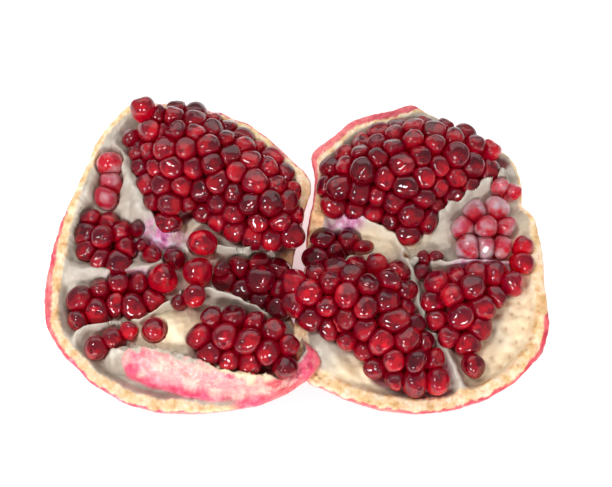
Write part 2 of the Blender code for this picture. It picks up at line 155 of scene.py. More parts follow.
# Each chamber: outline of its packed arils, height at the outline, rise of the dome, spacing
CHAMBERS = {
    "arils_left_back": ([
        (-50, 35), (-47, 40), (-41, 42), (-31, 40), (-17, 31), (-7, 23), (-1.5, 11), (-1.5, -1),
        (-6, -4), (-14, -4.5), (-22, -2), (-27, 1), (-35, 5), (-41, 0.5), (-46, 3), (-49, 10),
        (-51, 16), (-54, 23), (-54, 30)], 38, 8.5, 5.5),
    "arils_left_side": ([
        (-69, 7), (-63, 9), (-56, 5), (-52, 0), (-53, -7), (-57, -11), (-64, -9),
        (-70, -4)], 32.5, 5, 5.3),
    "arils_left_front": ([
        (-73, -21), (-69, -17), (-60, -13), (-52, -11), (-46, -16), (-43, -21), (-50, -25),
        (-57, -25), (-63, -27), (-69, -29), (-72, -26)], 30.5, 5, 5.7),
    "arils_left_inner": ([
        (-27, -6), (-19, -6), (-13, -5), (-6, -8), (-5, -15), (-5, -22), (-8, -25), (-13, -22),
        (-18, -19), (-24, -17), (-28, -13)], 29, 5.5, 5.6),
    "arils_left_flap": ([
        (-34, -31), (-29, -25), (-20, -25), (-10, -28), (-3.5, -32), (-2.5, -39), (-5.5, -45),
        (-13, -43), (-19, -44), (-25, -42), (-30, -40), (-34, -37)], 33, 5, 6.1),
    "arils_right_back": ([
        (4, 21), (8, 25), (14, 29.5), (21, 34.5), (30, 37.5), (39, 38), (48, 35.5), (55, 32),
        (61, 28.5), (64.5, 25), (58, 18.5), (52, 14.5), (47, 10.5), (42, 8), (38, 1), (30, -2),
        (24, 3), (13, 6), (6, 8), (4, 13)], 37, 8.5, 5.6),
    "arils_right_inner": ([
        (2, 0), (6, 3), (12, 3), (16, 1), (16, -4), (9, -7), (3, -9), (0, -6)], 30.5, 4, 5.3),
    "arils_right_front": ([
        (-4, -13), (7, -10), (19, -8), (30, -11), (32.5, -19), (33, -25), (35, -30), (39, -36),
        (41.5, -43), (40, -48.5), (30, -48.5), (20, -46), (16, -39), (10, -35), (4, -31),
        (-3, -28), (-6, -23), (-6, -17)], 33, 7.5, 5.9),
    "arils_right_pale": ([
        (46, 4), (52, 10), (59, 11), (63, 6), (63, -2), (61, -7), (55, -7), (48, -7),
        (46, -2)], 35, 4, 5.9),
    "arils_right_side": ([
        (35, -18), (38, -14), (45, -11), (55, -10), (63, -12), (65, -17), (58, -23), (54, -31),
        (50, -37), (45, -37), (39, -32), (36, -27)], 33, 5.5, 6),
}

# Arils that stand or lie apart: tip (x, y, z), lean (x, y) of its axis, width and length
LONE_ARILS = {
    "aril_left_tall": ((-51.5, 38, 48.5), (-0.25, 0.20), 8, 11.5),
    "aril_left_tall_right": ((-45, 36, 46), (0.25, 0.10), 6.8, 10),
    "aril_left_tall_front": ((-48, 29.5, 46.5), (0, -0.15), 7.8, 10),
    "aril_left_tall_low": ((-57, 31, 40), (-1.1, 0.1), 6.2, 9),
    "aril_left_pale_back": ((-60.6, 25.2, 38.5), (0.1, 0.5), 8.4, 9.5),
    "aril_left_pale_mid": ((-61.3, 17.2, 37), (-0.2, 0), 7.2, 9.5),
    "aril_left_pale_front": ((-62.2, 10.4, 36), (-0.1, -0.5), 7.6, 9.5),
    "aril_left_stain_a": ((-51, 3, 34.5), (0.3, 0.3), 4.6, 7),
    "aril_left_stain_b": ((-50, -4.5, 33), (0, -0.5), 4.6, 7),
    "aril_left_stain_c": ((-44, -7, 33.5), (0.9, -0.3), 5.4, 9.5),
    "aril_left_stain_d": ((-38, -9.5, 33.5), (0.6, -0.6), 6.6, 9),
    "aril_left_long_a": ((-39, -15.5, 34.5), (1.1, -0.3), 8.6, 12),
    "aril_left_long_b": ((-31.5, -13.5, 34.5), (0.3, -0.4), 9.4, 11),
    "aril_left_round": ((-31.5, -5, 36), (0, -0.5), 8.6, 10.5),
    "aril_left_wall_a": ((-63.5, -37.5, 31), (-0.3, -0.6), 7.4, 10),
    "aril_left_wall_b": ((-57, -34.5, 32), (0.1, -0.5), 7, 9.5),
    "aril_left_wall_c": ((-51.5, -31.5, 32.5), (0.4, -0.2), 5.4, 8),
    "aril_left_gem": ((-44, -31.8, 34), (0.3, -0.3), 7.4, 9.5),
    "aril_left_ridge_a": ((-32.5, -21.5, 35), (0.3, -0.3), 7, 9),
    "aril_left_ridge_b": ((-39.5, -21.8, 32.5), (-0.5, 0), 4.4, 6.5),
    "aril_left_dark": ((-24.5, -11, 33), (0.4, 0), 4.6, 7),
    "aril_right_tip_a": ((60.5, 16.5, 37), (0.1, 0.3), 5.6, 8.5),
    "aril_right_tip_b": ((66, 14.5, 35.5), (0.7, 0.1), 5.2, 8),
    "aril_right_edge_a": ((68, -2.5, 34.5), (0.6, 0.5), 6, 8.5),
    "aril_right_edge_b": ((67.5, -10.5, 34.5), (0.5, -0.4), 6.8, 10.5),
    "aril_right_pointed": ((20.5, -3.2, 32), (1.2, 0), 4.6, 9),
    "aril_right_nook_a": ((35.5, -6.5, 33), (-0.2, 0.2), 4.4, 7),
    "aril_right_nook_b": ((41.5, -7.2, 33), (1, 0), 3.8, 7),
    "aril_right_nook_c": ((34.8, -12.5, 32.5), (-0.2, -0.4), 5, 8),
    "aril_right_hinge": ((8.5, -31, 34), (-0.5, -0.7), 8, 10.5),
    "aril_right_broken": ((51, -43, 31), (0.4, -0.5), 7.6, 9.5),
}

# Arils of another look than plain red. The dark ones are darker in tone and glow, which is
# painted shade for those deep in the inner chambers and nooks
DARK_NODES = ("arils_left_inner", "arils_right_inner", "aril_left_dark", "aril_left_stain_a",
              "aril_left_stain_b", "aril_left_stain_d", "aril_right_nook_a", "aril_right_nook_b",
              "aril_right_nook_c", "aril_left_ridge_b")
BRIGHT_NODES = ("arils_right_side", "aril_right_edge_a", "aril_right_edge_b", "aril_left_long_a",
                "aril_left_long_b", "aril_left_round")
PALE_NODES = ("aril_left_pale_back", "aril_left_pale_mid", "aril_left_pale_front",
              "arils_right_pale", "aril_right_tip_a", "aril_right_tip_b")

# White ridges of pith: (x, y) points along the crest, height over the face, half width
RIDGES = [
    ([(5, 10), (12, 7), (18, 4), (27, -1), (31, -9), (33, -18), (36, -27), (41, -35), (44, -42),
      (46, -47)], 2.5, 2.2),
    ([(38, 3), (45, 9.5), (53, 14.5), (60, 19)], 4.4, 3.2),
    ([(33, -8), (42, -9.5), (52, -9), (64, -10)], 3, 1.5),
    ([(-72, -11), (-63, -12), (-53, -12), (-44, -9), (-35, -3), (-33, 4)], 1.5, 3),
    ([(-71, -37), (-69, -32), (-66, -30), (-59, -28.5), (-50, -28), (-43, -23.5), (-36, -18),
      (-30, -18.5), (-20, -21), (-11, -26)], 4, 1.2),
    ([(-62, 30), (-57.5, 24), (-53.5, 15), (-50, 7), (-42, 0)], 3.6, 4.4),
    ([(-33, -4), (-26, -4.5), (-18, -5.5), (-10, -6.5)], 3, 1.1),
]

# Soft swellings of the pith: (x, y) middle, rise, and half widths across x and y
SWELLINGS = [
    ((-54.5, 10.5), 4, 4.5, 7),
    ((42, 3), 4.5, 4.5, 5.5),
    ((28, -3), 3, 9, 6),
    ((64.5, 20.3), 0.8, 4.5, 4),
    ((67.5, 4), 3, 4, 6),
    ((-68, -12), 2, 6, 5),
    ((-41, -31), 7.5, 12, 8),
    ((62, -28), 1.5, 10, 14),
    ((14, -42), 1.5, 8, 6),
    ((5, -35), 4, 6, 9),
]

# Sockets of fallen arils in the pith: middle (x, y) of their field, half widths, and spacing
SOCKETS = ((60.5, -28.5), (8, 14), 4.6)
PIT = (30.6, -6.9)

# The flap of rind at the front of the left half: its lower and upper edges, seen from above
FLAP_LOW = [(-62, -38.5), (-58, -42), (-54, -42.5), (-50, -44.5), (-42, -47.5), (-31, -50.5),
            (-21, -52), (-11, -49.5), (-2, -44.5), (3, -41)]
FLAP_TOP = [(-62, -38), (-58, -38), (-54, -37.5), (-46, -37.5), (-35, -40.5), (-25, -43.5),
            (-16, -46), (-8, -46), (-2, -41), (3, -37)]
FLAP_RIPPLES = ((0.90, 3.6, 22), (0.30, 1.5, 23))
FLAP_FOOT_HEIGHT = 22.5
FLAP_CREST_HEIGHT = 32.0
FLAP_FALL = 4.0
SKIN_CORNER = -54.0

# Ripples as (height, wavelength, seed): of the rim's radius and height, of the pith face, of the
# upper edge of the flap's skin, and of the line between skin, torn rind and pith
RADIUS_RIPPLES = ((0.30, 11, 11), (0.10, 2.2, 12))
HEIGHT_RIPPLES = ((0.45, 9, 13), (0.15, 2, 14))
FACE_RIPPLES = ((0.40, 9, 1), (0.16, 3.2, 2), (0.04, 1.3, 7))
SKIN_TOP_RIPPLES = ((0.12, 5, 5), (0.08, 1.3, 6))
EDGE_RIPPLES = ((0.30, 4, 17), (0.20, 1.4, 18))

# Patches of colour: (x, y) middle, and half widths across x and y
WARM_PATCHES = [((24, -1), 13, 6), ((-40, -30), 12, 7), ((-37, 1), 5, 4), ((66, -22), 9, 26),
                ((16, -44), 9, 9), ((-20, -45), 12, 4), ((58, -40), 12, 10)]
STAIN_PATCHES = [((-45, -1), 9, 5), ((-52, -14), 8, 3), ((54, -10.5), 10, 2.2), ((12, 4), 6, 2.5),
                 ((40, -44), 3, 5)]
HOT_PATCHES = [((-51.5, -42), 2.4, 2), ((-50, -38.5), 2.2, 1.5), ((-1, -40), 5, 5),
               ((-22, -45), 3, 1.2)]

RIMS = np.array(LEFT_HALF["rim"] + RIGHT_HALF["rim"], dtype=float)
CENTRE = (RIMS.min(0) + RIMS.max(0))[:2] / 2
TURN = np.arange(COLUMNS) / COLUMNS * math.tau


# ---- layout of the fruit

def closed_curve(points, per_span=6):
    """A Catmull-Rom curve through a closed loop of points."""
    knots = np.asarray(points, dtype=float)
    before, after, beyond = np.roll(knots, 1, 0), np.roll(knots, -1, 0), np.roll(knots, -2, 0)
    rows = []
    for step in np.arange(per_span) / per_span:
        rows.append(0.5 * (2 * knots + (after - before) * step
                           + (2 * before - 5 * knots + 4 * after - beyond) * step ** 2
                           + (3 * knots - before - 3 * after + beyond) * step ** 3))
    return np.stack(rows, 1).reshape(-1, knots.shape[1])


def to_segments(points, line, closed):
    """Distance from each point to the nearest place on a line, and the step towards it."""
    start = line if closed else line[:-1]
    end = np.roll(line, -1, 0) if closed else line[1:]
    span = end - start
    offset = points[:, None, :] - start[None]
    along = np.clip((offset * span).sum(2) / np.maximum((span ** 2).sum(1), 1e-9), 0, 1)
    step = along[..., None] * span - offset
    length = np.linalg.norm(step, axis=2)
    nearest = length.argmin(1)
    rows = np.arange(len(points))
    return length[rows, nearest], step[rows, nearest]


def depth_inside(points, loop):
    """Signed distance from a closed loop, positive inside, with the step to the nearest edge."""
    distance, step = to_segments(points, loop, True)
    x, y = points[:, 0, None], points[:, 1, None]
    start, end = loop, np.roll(loop, -1, 0)
    rises = (start[:, 1] > y) != (end[:, 1] > y)
    fall = np.where(end[:, 1] == start[:, 1], 1e-9, end[:, 1] - start[:, 1])
    crossing = x < (end[:, 0] - start[:, 0]) * (y - start[:, 1]) / fall + start[:, 0]
    inside = (rises & crossing).sum(1) % 2 == 1
    return np.where(inside, distance, -distance), step


def unit(rows):
    """The rows at length 1. A row of no length stays as it is."""
    return rows / np.maximum(np.linalg.norm(rows, axis=1, keepdims=True), 1e-9)


def smooth(low, high, value):
    """Zero below low, one above high, and a soft step between."""
    share = np.clip((value - low) / (high - low), 0, 1)
    return share * share * (3 - 2 * share)


def dome_height(y, loop, depth, edge_height, rise):
    """Height of aril middles over a chamber, and the share of its shoulder that they are up."""
    share = np.clip((depth - EDGE_INSET) / SHOULDER, 0, 1)
    height = edge_height + FACE_SLOPE * (y - loop[:, 1].mean()) + rise * share * (2 - share)
    return height - ARIL_LENGTH * TIP_SHARE, share


def dome(points, loop, edge_height, rise):
    """Middles and directions of arils over a chamber: a round shoulder, then a flat top."""
    depth, step = depth_inside(points, loop)
    height, share = dome_height(points[:, 1], loop, depth, edge_height, rise)
    splay = (EDGE_SPLAY * (1 - share))[:, None] * unit(step)
    axis = np.column_stack([splay[:, 0], splay[:, 1] - FACE_SLOPE, np.ones(len(points))])
    return np.column_stack([points, height]), unit(axis)


def settle(outline, edge_height, rise, spacing, seed):
    """Pack arils over a chamber's dome: near neighbours push each other apart until all fit."""
    loop = closed_curve(outline)
    chance = np.random.default_rng(seed)
    low, high = loop.min(0), loop.max(0)
    tries = low + (high - low) * chance.random((TRIES, 2))
    tries = tries[depth_inside(tries, loop)[0] > EDGE_INSET]
    area = np.prod(high - low) * len(tries) / TRIES
    border = math.sqrt(math.tau * 2 * area)
    count = round(area / (GRID_ROW * spacing ** 2) + border / (2 * spacing) + 1)
    points = tries[:count]
    for _ in range(SETTLING_STEPS):
        middle, _ = dome(points, loop, edge_height, rise)
        gap = middle[:, None] - middle[None]
        distance = np.linalg.norm(gap, axis=2) + np.eye(len(points)) * 1e3
        push = np.clip(CROWDING * spacing - distance, 0, None)
        points = points + PUSH * (gap / distance[..., None] * push[..., None]).sum(1)[:, :2]
        depth, step = depth_inside(points, loop)
        inward = unit(-step) * np.where(depth < 0, -1, 1)[:, None]
        points = points + np.clip(EDGE_INSET - depth, 0, None)[:, None] * inward
    return dome(points, loop, edge_height, rise)


def all_arils():
    """Every aril of the fruit in whole arrays, with the node that each one belongs to."""
    groups = []
    for seed, (name, shape) in enumerate(CHAMBERS.items()):
        middle, axis = settle(*shape, seed)
        count = len(middle)
        groups.append((middle, axis, [(ARIL_WIDTH, ARIL_LENGTH)] * count, [name] * count))
    for name, (tip, lean, width, length) in LONE_ARILS.items():
        axis = np.array([*lean, 1.0])
        axis = axis / np.linalg.norm(axis)
        groups.append(([np.array(tip) - axis * length / 2], [axis], [(width, length)], [name]))
    return {key: np.concatenate(rows)
            for key, rows in zip(("middle", "axis", "size", "node"), zip(*groups))}


# ---- meshes from whole arrays

def waves(points, wavelength, seed):
    """Smooth noise from -1 to 1: the sum of crossed sine waves of about one wavelength."""
    chance = np.random.default_rng(seed)
    total = np.zeros(len(points))
    for _ in range(WAVE_COUNT):
        way = chance.normal(size=points.shape[1])
        way *= math.tau / wavelength * chance.uniform(0.6, 1.5) / np.linalg.norm(way)
        total += np.sin(points @ way + chance.uniform(0, math.tau))
    return total / WAVE_REACH


def rippled(line, points, ripples):
    """The line plus, for each ripple, its height times waves of its length and seed."""
    for height, wavelength, seed in ripples:
        line = line + height * waves(points, wavelength, seed)
    return line


def wrapped_faces(rows, columns):
    """Faces of a closed surface: rows of a ring of points, with a pole before and one after."""
    i = np.arange(rows - 1)[:, None]
    j = np.arange(columns)[None]
    along = (j + 1) % columns
    quads = np.stack([i * columns + j, i * columns + along,
                      (i + 1) * columns + along, (i + 1) * columns + j], -1).reshape(-1, 4) + 1
    ring = np.arange(columns)
    after = (ring + 1) % columns
    last = 1 + (rows - 1) * columns
    start = np.column_stack([np.zeros(columns, int), after + 1, ring + 1])
    end = np.column_stack([np.full(columns, last + columns), last + ring, last + after])
    return quads, np.vstack([start, end])


def new_object(name, data):
    """An object of the scene around its data."""
    thing = bpy.data.objects.new(name, data)
    bpy.context.scene.collection.objects.link(thing)
    return thing


def new_piece(name, points, quads, triangles, values, material):
    """An object from arrays in layout millimetres, with float attributes on its points."""
    mesh = bpy.data.meshes.new(name)
    placed = (points - np.array([CENTRE[0], CENTRE[1], 0])) * MM
    mesh.from_pydata(placed.tolist(), [], quads.tolist() + triangles.tolist())
    for key, value in values.items():
        layer = mesh.attributes.new(key, "FLOAT", "POINT")
        layer.data.foreach_set("value", np.asarray(value, dtype=np.float32))
    mesh.shade_smooth()
    mesh.materials.append(material)
    return new_object(name, mesh)


# ---- node trees

class Shading:
    """A small helper that adds and links the nodes of one material."""

    def __init__(self, name):
        self.material = bpy.data.materials.new(name)
        self.material.use_nodes = True
        self.tree = self.material.node_tree
        self.shader = self.tree.nodes["Principled BSDF"]

    def feed(self, socket, value):
        """Link an input to an output, or give it a plain value. Colours are opaque."""
        if isinstance(value, bpy.types.NodeSocket):
            self.tree.links.new(value, socket)
        else:
            socket.default_value = (*value, 1.0) if socket.type == "RGBA" else value

    def add(self, kind, inputs, **settings):
        """A new node with its properties set, and its inputs fed by name or number."""
        node = self.tree.nodes.new(kind)
        for key, value in settings.items():
            setattr(node, key, value)
        for key, value in inputs.items():
            self.feed(node.inputs[key], value)
        return node

    def set(self, **values):
        """Feed the shader's own inputs."""
        for key, value in values.items():
            self.feed(self.shader.inputs[key.replace("_", " ")], value)

    def value(self, name):
        """A float attribute of the piece."""
        return self.add("ShaderNodeAttribute", {}, attribute_name=name).outputs["Fac"]

    def noise(self, scale, detail=3.0, rough=0.55, stretch=None):
        """Noise in object coordinates: scale is about how many patches fit in a metre."""
        node = self.add("ShaderNodeTexNoise", dict(Scale=scale, Detail=detail, Roughness=rough))
        place = self.add("ShaderNodeTexCoord", {}).outputs["Object"]
        if stretch:
            mapping = self.add("ShaderNodeMapping", dict(Scale=stretch, Vector=place))
            place = mapping.outputs["Vector"]
        self.feed(node.inputs["Vector"], place)
        return node.outputs["Fac"]

    def ramp(self, source, stops):
        """Colours given as (position, colour) along a value from 0 to 1."""
        node = self.add("ShaderNodeValToRGB", dict(Fac=source))
        ramp = node.color_ramp
        while len(ramp.elements) < len(stops):
            ramp.elements.new(0.5)
        for element, (place, colour) in zip(ramp.elements, stops):
            element.position = place
            element.color = (*colour, 1.0)
        return node.outputs["Color"]

    def spread(self, source, low, high, to_low=0.0, to_high=1.0):
        """The range low to high spread evenly over to_low to to_high, and held at its ends."""
        ends = {"From Min": low, "From Max": high, "To Min": to_low, "To Max": to_high}
        return self.add("ShaderNodeMapRange", {**ends, "Value": source}).outputs["Result"]

    def mix(self, share, first, second, blend="MIX"):
        """First, with a share of second over it. Each may be an output or a plain value."""
        return self.add("ShaderNodeMix", {0: share, 6: first, 7: second}, data_type="RGBA",
                        blend_type=blend).outputs[2]

    def times(self, first, second):
        """The product of two outputs, or of an output and a number."""
        return self.add("ShaderNodeMath", {0: first, 1: second}, operation="MULTIPLY").outputs[0]

    def bump(self, source, strength, distance):
        """Relief from a height, in metres, laid over the relief that is already there."""
        node = self.add("ShaderNodeBump", dict(Strength=strength, Distance=distance, Height=source))
        last = self.shader.inputs["Normal"]
        if last.is_linked:
            self.feed(node.inputs["Normal"], last.links[0].from_socket)
        self.feed(last, node.outputs["Normal"])


def aril_material(name, stops, glow, fleck, contact_shade_colour, tones):
    """Juice-filled skin, coloured from base to tip by stops.

    Over that lie the painted glow, a painted light ragged by noise, with glow as (share, colour),
    then fleck patches as (share, colour, lowest and highest noise), painted glow on red arils and
    whitish streaks on pale ones, a tone from the first to the second of tones that differs from
    aril to aril, and the painted shade colour where neighbours touch.
    """
    s = Shading(name)
    body = s.ramp(s.value("along"), stops)
    glow_share, glow_colour = glow
    ragged = s.spread(s.noise(430.0, 3.0), 0.34, 0.60, 0.1, 1.4)
    # Painted glow: painted light gathered on the front of each tip, ragged by noise
    body = s.mix(s.times(s.times(s.value("painted_glow"), ragged), glow_share), body, glow_colour)
    # Fleck patches: painted glow on red arils, whitish streaks on pale ones
    glow_and_streak_share, glow_and_streak_colour, low, high = fleck
    glow_and_streaks = s.spread(s.noise(170.0, 2.0), low, high, 0.0, glow_and_streak_share)
    body = s.mix(glow_and_streaks, body, glow_and_streak_colour)
    tone = s.mix(s.value("tone"), tones[0], tones[1])
    body = s.mix(1.0, body, tone, "MULTIPLY")
    # Painted shade where neighbours touch
    body = s.mix(s.times(s.value("contact_shade"), 0.8), body, contact_shade_colour)
    s.set(Base_Color=body)
    s.set(Roughness=s.spread(s.noise(600.0, 2.0), 0.3, 0.7, 0.02, 0.06))
    s.bump(s.noise(900.0, 2.0), 0.06, 0.0002)
    s.bump(s.noise(380.0, 2.0), 0.20, 0.0004)
    s.set(Subsurface_Weight=0.40, Subsurface_Radius=(1.0, 0.08, 0.05), Subsurface_Scale=0.0015,
          Transmission_Weight=0.65, IOR=1.39, Coat_Weight=0.25, Coat_Roughness=0.02)
    return s.material


def peel_material():
    """Pink leathery skin, torn rind, cream pith, and dark red painted shade on the chamber floors.
    """
    s = Shading("peel_flesh_and_skin")
    pith = s.ramp(s.noise(150.0, 6.0), [(0.3, (0.33, 0.27, 0.21)), (0.5, (0.43, 0.37, 0.30)),
                                        (0.7, (0.62, 0.55, 0.47))])
    warm = s.ramp(s.noise(240.0, 5.0), [(0.3, (0.68, 0.50, 0.30)), (0.7, (0.84, 0.73, 0.52))])
    body = s.mix(s.value("warm"), pith, warm)
    body = s.mix(s.times(s.value("crest"), 0.6), body, (0.44, 0.395, 0.345))
    cream = s.ramp(s.noise(330.0, 5.0), [(0.32, (0.56, 0.38, 0.13)), (0.43, (0.77, 0.58, 0.28)),
                                         (0.52, (0.84, 0.69, 0.45)), (0.66, (0.90, 0.82, 0.67))])
    tan = s.ramp(s.noise(330.0, 5.0), [(0.25, (0.42, 0.20, 0.08)), (0.5, (0.72, 0.40, 0.20)),
                                       (0.75, (0.82, 0.58, 0.34))])
    fleck = s.spread(s.noise(620.0, 5.0, 0.65), 0.54, 0.62, 0.0, 0.60)
    cream = s.mix(fleck, cream, (0.66, 0.26, 0.14))
    body = s.mix(s.value("torn"), body, cream)
    body = s.mix(s.value("brown"), body, tan)
    stain = s.spread(s.noise(230.0, 5.0), 0.32, 0.52)
    tint = s.ramp(s.noise(340.0, 3.0), [(0.35, (0.24, 0.04, 0.15)), (0.5, (0.50, 0.14, 0.30)),
                                        (0.65, (0.60, 0.44, 0.56))])
    body = s.mix(s.times(s.value("stain"), stain), body, tint)
    # Painted shade: dark red over the chamber floors and the trench walls at their edges, under and
    # around the arils
    body = s.mix(s.value("floor"), body, (0.12, 0.003, 0.008))
    body = s.mix(s.value("dots"), body, (0.30, 0.12, 0.04))
    flush = s.ramp(s.noise(70.0, 7.0, 0.65),
                   [(0.34, (0.44, 0.016, 0.04)), (0.46, (0.62, 0.06, 0.09)),
                    (0.58, (0.74, 0.17, 0.16)), (0.72, (0.82, 0.38, 0.26))])
    deep = s.ramp(s.noise(60.0, 9.0, 0.70),
                  [(0.36, (0.30, 0.008, 0.020)), (0.48, (0.44, 0.025, 0.040)),
                   (0.60, (0.54, 0.09, 0.06)), (0.72, (0.62, 0.24, 0.12))])
    russet = s.spread(s.noise(95.0, 9.0, 0.72), 0.60, 0.66, 0.0, 0.6)
    deep = s.mix(russet, deep, (0.40, 0.20, 0.09))
    flush = s.mix(s.value("deep_skin"), flush, deep)
    speck = s.spread(s.noise(520.0, 3.0), 0.52, 0.62)
    flush = s.mix(s.times(speck, 0.62), flush, (0.46, 0.02, 0.05))
    pale = s.ramp(s.noise(150.0, 9.0, 0.70, (0.45, 1.0, 1.0)),
                  [(0.34, (0.70, 0.15, 0.20)), (0.5, (0.76, 0.30, 0.30)),
                   (0.66, (0.80, 0.46, 0.39))])
    mottle = s.spread(s.noise(230.0, 7.0, 0.65), 0.50, 0.60, 0.0, 0.55)
    pale = s.mix(mottle, pale, (0.82, 0.60, 0.46))
    pale = s.mix(s.times(speck, 0.5), pale, (0.70, 0.16, 0.16))
    skin = s.mix(s.value("pale_skin"), flush, pale)
    hot = s.ramp(s.noise(260.0, 5.0), [(0.35, (0.56, 0.02, 0.08)), (0.5, (0.72, 0.07, 0.16)),
                                       (0.7, (0.84, 0.30, 0.36))])
    skin = s.mix(s.value("hot_skin"), skin, hot)
    body = s.mix(s.value("skin"), body, skin)
    s.set(Base_Color=body)
    s.set(Roughness=s.spread(s.value("skin"), 0.0, 1.0, 0.50, 0.33))
    s.bump(s.noise(1100.0, 4.0), 0.30, 0.0002)
    s.bump(s.noise(260.0, 5.0), 0.28, 0.0005)
    s.set(Subsurface_Weight=0.25, Subsurface_Radius=(1.0, 0.6, 0.4), Subsurface_Scale=0.0012)
    return s.material


# ---- arils

def cage_directions():
    """Unit directions of a small ball of rings, from its lower pole to its upper pole."""
    fall = (np.arange(CAGE_ROWS) + 1) / (CAGE_ROWS + 1) * math.pi
    turn = np.arange(CAGE_COLUMNS) / CAGE_COLUMNS * math.tau
    ring = np.stack([np.outer(np.sin(fall), np.cos(turn)), np.outer(np.sin(fall), np.sin(turn)),
                     np.outer(-np.cos(fall), np.ones(CAGE_COLUMNS))], -1).reshape(-1, 3)
    return np.vstack([[[0, 0, -1]], ring, [[0, 0, 1]]])


def frames_about(axis, spin):
    """Three unit directions for each aril: two across it, turned by spin, and its axis."""
    helper = np.where(np.abs(axis[:, :1]) < 0.7, [[1.0, 0, 0]], [[0, 1.0, 0]])
    across = unit(np.cross(axis, helper))
    other = np.cross(axis, across)
    first = across * np.cos(spin)[:, None] + other * np.sin(spin)[:, None]
    return np.stack([first, np.cross(axis, first), axis], 1)


def sharpened(points):
    """Cage points pushed out by as much as Subdivision Surface pulls them in.

    A ring point's limit is (16 of itself + 4 of each side neighbour + its 4 diagonals) / 36.
    """
    count = len(points)
    rings = points[:, 1:-1].reshape(count, CAGE_ROWS, CAGE_COLUMNS, 3)
    ends = [np.repeat(points[:, None, None, pole], CAGE_COLUMNS, 2) for pole in (0, -1)]
    grid = np.concatenate([ends[0], rings, ends[1]], 1)
    beside = np.roll(grid, 1, 2) + np.roll(grid, -1, 2)
    above, below = slice(2, None), slice(None, -2)
    edges = grid[:, above] + grid[:, below] + beside[:, 1:-1]
    corners = beside[:, above] + beside[:, below]
    limit = (16 * rings + 4 * edges + corners) / 36
    pushed = (2 * rings - limit).reshape(count, -1, 3)
    return np.concatenate([points[:, :1], pushed, points[:, -1:]], 1)


def aril_shapes(arils):
    """Surface points of every aril, as an array of aril by cage point.

    The radius in each direction is a soft least of four things: an egg that is narrower at its
    base, flat planes between it and each neighbour, one flat cap where the rind lay on it, and a
    few flat facets. With it come the share of the way from base to tip, the painted glow, a painted
    light gathered on the front of the tip, and how far the neighbours set the radius, which marks
    the painted shade where arils touch.
    """
    chance = np.random.default_rng(5)
    middle, axis, size = arils["middle"], arils["axis"], arils["size"]
    count = len(middle)
    packed = np.isin(arils["node"], list(CHAMBERS))[:, None]
    turned = frames_about(axis, chance.uniform(0, math.tau, count))
    local = cage_directions()
    ways = np.einsum("ck,nkx->ncx", local, turned)
    upward = local[None, :, 2]
    bulk = np.where(packed, chance.uniform(*BULK, (count, 1)), 1.0)
    half_width = size[:, :1] / 2 * (1 + ARIL_TAPER * upward)
    half_width = half_width * np.where(packed, ARIL_GROWTH * bulk ** 0.5, 1.0)
    half_length = size[:, 1:] / 2 * np.where(packed, chance.uniform(*STRETCH, (count, 1)), 1.0)
    flat = chance.uniform(*ROUNDNESS, (count, 1))
    across = np.hypot(local[None, :, 0] / flat, local[None, :, 1] * flat) / half_width
    egg = (across ** EGG_POWER + (np.abs(upward) / half_length) ** EGG_POWER) ** (-1 / EGG_POWER)
    total = egg ** -PRESS_POWER
    # How hard the neighbours push, summed: the mask of painted shade where arils touch
    contact_shade = np.zeros_like(total)
    gap = middle[None] - middle[:, None]
    distance = np.linalg.norm(gap, axis=2) + np.eye(count) * 1e3
    rows = np.arange(count)
    width = size[:, 0] * bulk[:, 0]
    for near in np.argsort(distance, 1)[:, :NEIGHBOURS].T:
        span = distance[rows, near]
        lean = (ways * (gap[rows, near] / span[:, None])[:, None]).sum(2)
        reach = (span * width / (width + width[near]))[:, None]
        push = (np.clip(lean, 0, None) / reach) ** PRESS_POWER
        contact_shade = contact_shade + push
        total = total + push

    def facet(normal, share):
        """How hard a plane cuts, at a share of the egg's own reach along its normal."""
        normal = unit(normal)
        rise = (normal * axis).sum(1)
        reach = share / np.sqrt((1 - rise ** 2) / half_width.max(1) ** 2
                                + rise ** 2 / half_length[:, 0] ** 2)
        lean = np.clip((ways * normal[:, None]).sum(2), 0, None)
        return (lean / reach[:, None]) ** PRESS_POWER

    total = total + facet(axis + CAP_STRAY * chance.normal(size=(count, 3)) + CAP_LEAN,
                          chance.uniform(*CAP_CUT, count))
    deeper = np.where(packed[:, 0], 0, LONE_FACET_CUT)
    for _ in range(FACETS):
        total = total + facet(0.4 * axis + chance.normal(size=(count, 3)) * FACET_STRAY,
                              chance.uniform(*FACET_CUT, count) - deeper)
    radius = total ** (-1 / PRESS_POWER)
    along = 0.5 + 0.5 * upward * radius / half_length
    points = middle[:, None] + sharpened(ways * radius[..., None])
    # Painted glow: painted light nearest a direction that leans to the front of the tip
    glow_way = unit(axis + GLOW_STRAY * chance.normal(size=(count, 3)) + GLOW_LEAN)
    painted_glow = smooth(GLOW_START, 1.0, (ways * glow_way[:, None]).sum(2))
    painted_glow = painted_glow * chance.uniform(*GLOW_STRENGTH, (count, 1))
    return points, along, painted_glow, np.clip(contact_shade / total, 0, 1) ** CONTACT_SHADE_SPREAD


